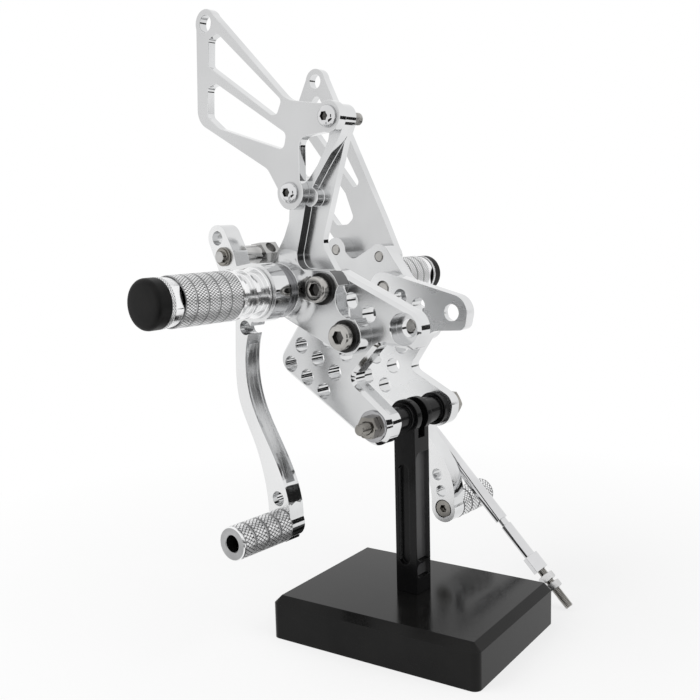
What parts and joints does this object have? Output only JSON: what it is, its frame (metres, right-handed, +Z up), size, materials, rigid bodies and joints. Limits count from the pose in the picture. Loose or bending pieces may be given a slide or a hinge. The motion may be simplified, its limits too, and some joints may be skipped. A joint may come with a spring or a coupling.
{
  "type": "rear sets footrest pair on a display stand",
  "caption": "Pair of polished rear-set footrests with knurled pegs, heel guards, drilled side plates, a hanging brake lever, a shift lever and its rod, bolted to a black display stand.",
  "frame": {"origin": "centre of the stand base's underside, on the post's axis", "axes": "+X forward along the bike, +Y from the brake side to the shift side, +Z up"},
  "size_m": [0.1861, 0.2682, 0.3267],
  "materials": {
    "polished_aluminium": "bright polished, milled",
    "knurled_aluminium": "bright, diamond knurled",
    "stainless": "bright stainless",
    "bush_steel": "turned, bright",
    "chromed_steel": "polished",
    "black_anodised": "black anodised, satin",
    "gloss_black": "gloss black",
    "black_plastic": "satin black"
  },
  "bodies": {
    "stand_and_units": {"stand_base": "gloss_black", "stand_post": "black_anodised", "stand_stud": "stainless", "stand_bolt": "stainless", "stand_nut": "stainless", "stand_washers": "stainless", "brake_spacer": "black_anodised", "shift_spacer": "black_anodised", "brake_plate": "polished_aluminium", "brake_bracket": "polished_aluminium", "brake_bracket_screws": "stainless", "brake_bracket_washers": "black_anodised", "brake_heel_guard": "polished_aluminium", "brake_guard_screws": "stainless", "brake_lever_bush": "bush_steel", "brake_peg": "knurled_aluminium", "brake_peg_cap": "black_plastic", "brake_peg_bolt": "stainless", "shift_plate": "polished_aluminium", "shift_bracket": "polished_aluminium", "shift_bracket_screws": "stainless", "shift_bracket_washers": "black_anodised", "shift_heel_guard": "polished_aluminium", "shift_guard_screws": "stainless", "shift_lever_bush": "bush_steel", "shift_peg": "knurled_aluminium", "shift_peg_cap": "black_plastic", "shift_peg_bolt": "stainless"},
    "brake_lever": {"brake_lever": "polished_aluminium", "brake_toe_peg": "knurled_aluminium", "brake_toe_screw": "stainless"},
    "push_rod_pivot": {"push_rod_pivot": "stainless", "pivot_washer": "stainless", "pivot_clip": "stainless"},
    "shift_lever": {"shift_lever": "polished_aluminium", "shift_toe_peg": "knurled_aluminium", "shift_toe_screw": "stainless", "rod_pin": "stainless"},
    "shift_rod": {"shift_rod": "chromed_steel", "rod_stud": "stainless", "rod_lock_nuts": "stainless"}
  },
  "joints": [
    {"name": "brake_lever_pivot", "type": "hinge", "parent": "stand_and_units", "child": "brake_lever", "pos_m": [-0.046, -0.06, 0.184], "axis": [0, 1, 0], "range_deg": [-45, 4]},
    {"name": "push_rod_swivel", "type": "hinge", "parent": "brake_lever", "child": "push_rod_pivot", "pos_m": [-0.0659, -0.06, 0.2014], "axis": [0, 1, 0], "range_deg": [-30, 30]},
    {"name": "shift_lever_pivot", "type": "hinge", "parent": "stand_and_units", "child": "shift_lever", "pos_m": [-0.07996, 0.06, 0.18098], "axis": [0, 1, 0], "range_deg": [-25, 10]},
    {"name": "shift_rod_swivel", "type": "hinge", "parent": "shift_lever", "child": "shift_rod", "pos_m": [-0.06147, 0.07, 0.11837], "axis": [0, 1, 0], "range_deg": [-60, 3]}
  ]
}
